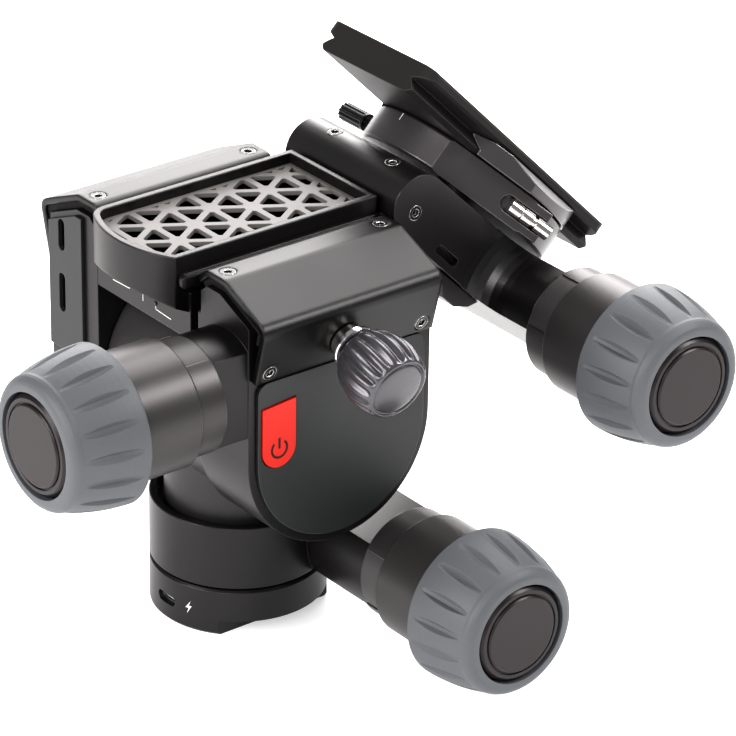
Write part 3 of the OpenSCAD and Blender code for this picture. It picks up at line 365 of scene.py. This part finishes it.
# Each panel's name, power in watts, width, height and place
LIGHTS = (
    ("back", 25, 1.7, 0.8, (1.0, 1.25, 0.75)),
    ("top", 11, 0.9, 0.7, (0.8, 0.4, 1.3)),
    ("left", 14, 0.8, 1.0, (-1.4, 0.1, 0.8)),
    ("right", 13, 0.7, 0.5, (0.9, -0.85, 1.15)),
    ("front", 8, 0.8, 0.6, (-1.1, -0.85, 0.95)),
)


# Modelling: each piece is drawn in millimetres at the origin and then put in its place


def placed(origin, right, up):
    """Matrix to a place in metres, with the drawing's X to the right, Y up and Z out of the surface."""
    turn = Matrix((right, up, right.cross(up))).transposed().to_4x4()
    return Matrix.Translation(origin) @ turn @ Matrix.Scale(MM, 4)


def start(add, **sizes):
    """Adds a primitive with nothing else selected, and opens it for editing."""
    bpy.ops.object.select_all(action="DESELECT")
    add(enter_editmode=True, location=(0, 0, 0), **sizes)
    return bpy.context.object


def pick(piece, test):
    """Selects the vertices that pass a test on their number and place."""
    bpy.ops.mesh.select_all(action="DESELECT")
    bpy.ops.mesh.select_mode(type="VERT")
    mesh = bmesh.from_edit_mesh(piece.data)
    for vert in mesh.verts:
        vert.select = test(vert.index, vert.co)
    mesh.select_flush(True)
    bmesh.update_edit_mesh(piece.data)


def flat(points):
    """Opens a flat piece whose corners are moved to the given places."""
    piece = start(bpy.ops.mesh.primitive_circle_add, vertices=len(points), radius=1, fill_type="NGON")
    corners = [vert.co.copy() for vert in bmesh.from_edit_mesh(piece.data).verts]
    for number, (x, y) in enumerate(points):
        pick(piece, lambda index, co: index == number)
        bpy.ops.transform.translate(value=Vector((x, y, 0)) - corners[number])
    return piece


def strip(half, low, high):
    """Corners of an upright strip about the middle line."""
    return ((half, high), (-half, high), (-half, low), (half, low))


def turned(profile, sides):
    """Opens a closed round body from heights and radii along its axis."""
    piece = start(bpy.ops.mesh.primitive_circle_add, vertices=sides, radius=profile[0][1], fill_type="NGON")
    bpy.ops.transform.translate(value=(0, 0, profile[0][0]))
    for (low, before), (high, after) in zip(profile, profile[1:]):
        bpy.ops.mesh.extrude_region_move(TRANSFORM_OT_translate={"value": (0, 0, high - low)})
        bpy.ops.transform.resize(value=(after / before, after / before, 1), center_override=(0, 0, 0))
    bpy.ops.mesh.select_all(action="SELECT")
    bpy.ops.mesh.normals_make_consistent(inside=False)
    return piece


def modified(piece, kind, **settings):
    """Adds a modifier and applies it."""
    bpy.ops.object.mode_set(mode="OBJECT")
    modifier = piece.modifiers.new(kind, kind)
    for key, value in settings.items():
        setattr(modifier, key, value)
    bpy.ops.object.modifier_apply(modifier=modifier.name)


def seated(piece, name, body, place, finish):
    """Puts a finished piece in its place, gives it its finish and ties it to its body."""
    bpy.ops.object.mode_set(mode="OBJECT")
    piece.name = piece.data.name = name
    piece.matrix_world = place
    bpy.ops.object.transform_apply(location=True, rotation=True, scale=True)
    bpy.ops.object.shade_smooth_by_angle(angle=math.radians(SMOOTH_ANGLE))
    piece.data.materials.append(bpy.data.materials[finish])
    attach(piece, body)
    return piece


class HeadSettings(bpy.types.PropertyGroup):
    """Sizes and colours that a user would change."""

    azimuth: bpy.props.FloatProperty(
        name="Azimuth", description="Camera angle around the head",
        default=math.radians(-38.4), subtype="ANGLE")
    elevation: bpy.props.FloatProperty(
        name="Elevation", description="Camera angle above the horizon",
        default=math.radians(26.7), subtype="ANGLE")
    roll: bpy.props.FloatProperty(
        name="Roll", description="Camera roll", default=math.radians(0.9), subtype="ANGLE")
    distance: bpy.props.FloatProperty(
        name="Distance", description="Camera distance", default=1.4326, unit="LENGTH")
    lens: bpy.props.FloatProperty(
        name="Lens", description="Focal length in millimetres", default=210.35, unit="CAMERA")
    power_radius: bpy.props.FloatProperty(
        name="Power sign", description="Radius of the power sign", default=3.4 * MM, unit="LENGTH")
    sign_line: bpy.props.FloatProperty(
        name="Sign line", description="Width of the power sign's lines", default=0.8 * MM, unit="LENGTH")
    tick_line: bpy.props.FloatProperty(
        name="Tick line", description="Width of the ticks", default=0.32 * MM, unit="LENGTH")
    lock_flutes: bpy.props.IntProperty(
        name="Lock flutes", description="Flutes round the lock knob", default=18)
    floor_tone: bpy.props.FloatVectorProperty(
        name="Floor", description="Colour of the floor", default=(0.86, 0.86, 0.86), size=3, subtype="COLOR")
    floor_glow: bpy.props.FloatProperty(
        name="Floor glow", description="Light that the floor gives off", default=0.4)
    ambient: bpy.props.FloatProperty(
        name="Ambient", description="Strength of the surroundings", default=0.25)


class HEAD_OT_finishes(bpy.types.Operator):
    """Makes the finishes and gives each node its own"""

    bl_idname = "head.finishes"
    bl_label = "Finishes"

    def execute(self, context):
        for name, (make, settings, members) in FINISHES.items():
            material = make(name, **settings)
            for member in members.split():
                data = nodes[member].data
                data.materials.clear()
                data.materials.append(material)
        return {"FINISHED"}


class HEAD_OT_power_sign(bpy.types.Operator):
    """Prints an open ring and a bar on the power button"""

    bl_idname = "head.power_sign"
    bl_label = "Power sign"

    def execute(self, context):
        settings = context.scene.head
        radius, line = settings.power_radius / MM, settings.sign_line / MM
        low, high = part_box("power_button")
        middle = Vector(((low.x + high.x) / 2, low.y, low.z + (high.x - low.x) / 2))
        place = placed(middle, ACROSS, UP)
        piece = start(
            bpy.ops.mesh.primitive_circle_add, vertices=POWER_SIDES, radius=radius, fill_type="NOTHING")
        bpy.ops.mesh.extrude_edges_move()
        bpy.ops.transform.resize(value=(1 - line / radius, 1 - line / radius, 1), center_override=(0, 0, 0))
        pick(piece, lambda index, co: co.y > POWER_GAP * co.xy.length)
        bpy.ops.mesh.delete(type="VERT")
        modified(piece, "SOLIDIFY", thickness=SIGN_DEPTH, offset=1)
        seated(piece, "power_ring", "button", place, "sign_dark")
        bar = flat(strip(line / 2, POWER_FOOT, POWER_TOP * radius))
        modified(bar, "SOLIDIFY", thickness=SIGN_DEPTH, offset=1)
        seated(bar, "power_bar", "button", place, "sign_dark")
        return {"FINISHED"}


class HEAD_OT_charge_sign(bpy.types.Operator):
    """Prints a lightning sign beside the charging socket"""

    bl_idname = "head.charge_sign"
    bl_label = "Charge sign"

    def execute(self, context):
        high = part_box("base_shell")[1]
        turn = math.radians(CHARGE_TURN)
        out = Vector((math.cos(turn), math.sin(turn), 0))
        place = placed(out * high.x + UP * high.z / 2, UP.cross(out), UP)
        piece = flat(CHARGE_SIGN)
        modified(piece, "SOLIDIFY", thickness=2 * SIGN_DEPTH, offset=0)
        seated(piece, "charge_sign", "base", place, "sign_pale")
        return {"FINISHED"}


class HEAD_OT_ticks(bpy.types.Operator):
    """Prints the leader ticks beside their lamp on the front wall, and the index tick on the clamp"""

    bl_idname = "head.ticks"
    bl_label = "Ticks"

    def execute(self, context):
        half = context.scene.head.tick_line / MM / 2
        self.front_wall(half)
        self.clamp(half)
        return {"FINISHED"}

    def front_wall(self, half):
        """The ticks, each a thin strip between its two ends, and the lamp."""
        wall = placed(Vector((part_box("port_panel")[1].x, 0, 0)), -AWAY, UP)
        for number, (begin, end) in enumerate(LEADERS):
            begin, end = Vector(begin), Vector(end)
            side = (end - begin).normalized().orthogonal() * half
            piece = flat([begin + side, begin - side, end - side, end + side])
            modified(piece, "SOLIDIFY", thickness=SIGN_DEPTH, offset=1)
            seated(piece, f"leader_tick_{number + 1}", "tilt_body", wall, "sign_pale")
        lamp = turned(LAMP_PROFILE, LAMP_SIDES)
        seated(lamp, "lamp", "tilt_body", wall @ Matrix.Translation((*LAMP, 0)), "lamp_dark")

    def clamp(self, half):
        """The index tick, on the rim of the clamp's disc."""
        axis, centre = (Vector(joints["track"][key]) for key in ("axis", "pos_m"))
        turn = math.radians(INDEX_TURN)
        out = AWAY.cross(axis) * math.cos(turn) + AWAY * math.sin(turn)
        place = placed(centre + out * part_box("clamp_base")[1].y, axis.cross(out), axis)
        piece = flat(strip(half, *INDEX_HEIGHTS))
        modified(piece, "SOLIDIFY", thickness=2 * SIGN_DEPTH, offset=0)
        seated(piece, "index_tick", "clamp", place, "sign_pale")


class HEAD_OT_ports(bpy.types.Operator):
    """Sets a contact tongue in each of the two ports"""

    bl_idname = "head.ports"
    bl_label = "Ports"

    def execute(self, context):
        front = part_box("port_panel")[0].x
        for number, (y, z, long) in enumerate(PORTS):
            piece = start(bpy.ops.mesh.primitive_cube_add, size=1)
            bpy.ops.transform.resize(value=(TONGUE_THICK, long - TONGUE_SHORTER, TONGUE_DEEP))
            bpy.ops.transform.translate(value=(0, 0, -TONGUE_SINK))
            bpy.ops.mesh.bevel(offset=TONGUE_ROUND, segments=2)
            place = placed(Vector((front, y * MM, z * MM)), -AWAY, UP)
            seated(piece, f"port_tongue_{number + 1}", "tilt_body", place, "lamp_dark")
        return {"FINISHED"}


class HEAD_OT_lock_knob(bpy.types.Operator):
    """Turns the lock knob with its close flutes, and the bright washer behind it"""

    bl_idname = "head.lock_knob"
    bl_label = "Lock knob"

    def execute(self, context):
        flutes = context.scene.head.lock_flutes
        axis, foot = (Vector(joints["lock_turn"][key]) for key in ("axis", "pos_m"))
        place = placed(foot, ACROSS, axis.cross(ACROSS))
        piece = turned(LOCK_PROFILE, FLUTE_STEPS * flutes)
        low, high = LOCK_FLUTED
        for phases, depth in FLUTE_DEPTHS:
            pick(piece, lambda index, co: low < co.z < high and self.phase(co, flutes) in phases)
            bpy.ops.transform.resize(value=(depth, depth, 1), center_override=(0, 0, 0))
        modified(piece, "SUBSURF", levels=1, render_levels=1)
        seated(piece, "lock_knob_grip", "lock_knob", place, "lock_plastic")
        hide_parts("lock_grip")
        washer = turned(WASHER_PROFILE, WASHER_SIDES)
        seated(washer, "lock_washer", "lock_knob", place, "bright")
        return {"FINISHED"}

    def phase(self, co, flutes):
        """Which of the steps within one flute a place lies on."""
        return round(math.atan2(co.y, co.x) / math.tau * FLUTE_STEPS * flutes) % FLUTE_STEPS


class HEAD_OT_rail(bpy.types.Operator):
    """Runs a grooved rail along the tray's near wall"""

    bl_idname = "head.rail"
    bl_label = "Rail"

    def execute(self, context):
        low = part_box("grille")[0]
        long, wide, deep = RAIL_SIZE
        piece = start(bpy.ops.mesh.primitive_cube_add, size=1)
        bpy.ops.transform.resize(value=RAIL_SIZE)
        bpy.ops.transform.translate(value=(0, 0, -deep / 2))
        pick(piece, lambda index, co: co.x < 0)
        bpy.ops.mesh.bevel(offset=RAIL_NOSE, segments=4)
        pick(piece, lambda index, co: co.z > -NEAR)
        bpy.ops.mesh.inset(thickness=RAIL_RIM)
        bpy.ops.mesh.extrude_region_move(TRANSFORM_OT_translate={"value": (0, 0, -RAIL_GROOVE)})
        middle = Vector((low.x + (long / 2 + RAIL_START) * MM,
                         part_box("near_cover")[1].y + (wide / 2 + RAIL_CLEAR) * MM, low.z + RAIL_TOP * MM))
        seated(piece, "tray_rail", "tilt_body", placed(middle, ACROSS, AWAY), "deck_black")
        return {"FINISHED"}


class HEAD_OT_shade_sheet(bpy.types.Operator):
    """Lays a black sheet under the grille, painted shade that makes its holes read dark"""

    bl_idname = "head.screen"
    bl_label = "Screen"

    def execute(self, context):
        low, high = (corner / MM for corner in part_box("grille"))
        inset, corner = SHADE_SHEET_INSET, Vector(SHADE_SHEET_CORNER)
        middle = low.x + inset + SHADE_SHEET_BOW
        piece = start(
            bpy.ops.mesh.primitive_circle_add, vertices=SHADE_SHEET_SIDES, radius=SHADE_SHEET_BOW, fill_type="NGON")
        bpy.ops.transform.translate(value=(middle, 0, 0))
        for place, way in (((0, high.y - inset, 0), AWAY), ((0, low.y + inset, 0), -AWAY),
                           ((middle, 0, 0), ACROSS), (corner, corner)):
            bpy.ops.mesh.select_all(action="SELECT")
            bpy.ops.mesh.bisect(plane_co=place, plane_no=way, clear_outer=True)
        pick(piece, lambda index, co: co.x > middle - NEAR)
        bpy.ops.mesh.extrude_region_move(TRANSFORM_OT_translate={"value": (high.x - inset - middle, 0, 0)})
        modified(piece, "SOLIDIFY", thickness=SHADE_SHEET_THICK, offset=-1)
        seated(piece, "grille_shade_sheet", "tilt_body", placed(UP * (low.z - SHADE_SHEET_GAP) * MM, ACROSS, AWAY),
               "screen_black")
        return {"FINISHED"}


class HEAD_OT_studio(bpy.types.Operator):
    """Sets the camera, the lights and the pale floor"""

    bl_idname = "head.studio"
    bl_label = "Studio"

    def execute(self, context):
        settings = context.scene.head
        self.camera(context, settings)
        self.floor(settings)
        self.lights(context, settings)
        context.scene.view_settings.view_transform = "Standard"
        context.scene.view_settings.look = "High Contrast"
        return {"FINISHED"}

    def camera(self, context, settings):
        """Looks at the head from the settings' angles, a little rolled."""
        around, above, roll = settings.azimuth, settings.elevation, settings.roll
        level = Vector((math.cos(around), math.sin(around), 0))
        back = level.cross(UP) * math.cos(above) + UP * math.sin(above)
        rise = back.cross(level)
        right = level * math.cos(roll) + rise * math.sin(roll)
        up = rise * math.cos(roll) - level * math.sin(roll)
        data = bpy.data.cameras.new("camera")
        data.lens = settings.lens
        data.sensor_width = SENSOR_MM
        data.clip_end = 20
        camera = bpy.data.objects.new("camera", data)
        turn = Matrix((right, up, back)).transposed().to_4x4()
        aside, higher = CAMERA_SHIFT
        place = CAMERA_AIM + right * aside + up * higher + back * settings.distance
        camera.matrix_world = Matrix.Translation(place) @ turn
        context.scene.collection.objects.link(camera)
        context.scene.camera = camera

    def floor(self, settings):
        """A pale floor that glows a little."""
        bpy.ops.object.select_all(action="DESELECT")
        bpy.ops.mesh.primitive_plane_add(size=FLOOR_SIZE)
        floor = bpy.context.object
        floor.name = "floor"
        paint = Paint("floor")
        drift = paint.noise(scale=0.6)
        tone = paint.blend(drift, shade(settings.floor_tone, FLOOR_DRIFT), shade(settings.floor_tone, 1.0))
        floor.data.materials.append(paint.finish(
            Base_Color=tone, Roughness=0.5, Emission_Color=(1.0, 1.0, 1.0, 1.0),
            Emission_Strength=settings.floor_glow))

    def lights(self, context, settings):
        """Large panels: the strongest low at the back, where the upper faces mirror it."""
        for name, power, wide, high, place in LIGHTS:
            data = bpy.data.lights.new(name, "AREA")
            data.shape = "RECTANGLE"
            data.energy, data.size, data.size_y, data.color = power, wide, high, LIGHT_TONE
            light = bpy.data.objects.new(name, data)
            spot = Vector(place)
            turn = (LIGHT_AIM - spot).to_track_quat("-Z", "Y")
            light.matrix_world = Matrix.Translation(spot) @ turn.to_matrix().to_4x4()
            context.scene.collection.objects.link(light)
        world = bpy.data.worlds.new("studio")
        world.use_nodes = True
        background = world.node_tree.nodes["Background"]
        background.inputs["Color"].default_value = (1, 1, 1, 1)
        background.inputs["Strength"].default_value = settings.ambient
        context.scene.world = world


class HEAD_PT_panel(bpy.types.Panel):
    """Lists the settings and the steps in the sidebar"""

    bl_idname = "HEAD_PT_panel"
    bl_label = "Tripod head"
    bl_space_type = "VIEW_3D"
    bl_region_type = "UI"
    bl_category = "Tripod head"

    def draw(self, context):
        for name in HeadSettings.__annotations__:
            self.layout.prop(context.scene.head, name)
        for step in STEPS:
            self.layout.operator(step.bl_idname)


STEPS = (HEAD_OT_finishes, HEAD_OT_power_sign, HEAD_OT_charge_sign, HEAD_OT_ticks, HEAD_OT_ports,
         HEAD_OT_lock_knob, HEAD_OT_rail, HEAD_OT_shade_sheet, HEAD_OT_studio)
CLASSES = (HeadSettings, *STEPS, HEAD_PT_panel)


def register():
    """Adds the classes and the settings to Blender."""
    for made in CLASSES:
        bpy.utils.register_class(made)
    bpy.types.Scene.head = bpy.props.PointerProperty(type=HeadSettings)


def unregister():
    """Takes the settings and the classes out again."""
    del bpy.types.Scene.head
    for made in reversed(CLASSES):
        bpy.utils.unregister_class(made)


def main():
    """Runs the steps in order."""
    register()
    for step in STEPS:
        group, name = step.bl_idname.split(".")
        getattr(getattr(bpy.ops, group), name)()


if __name__ == "__main__":
    main()
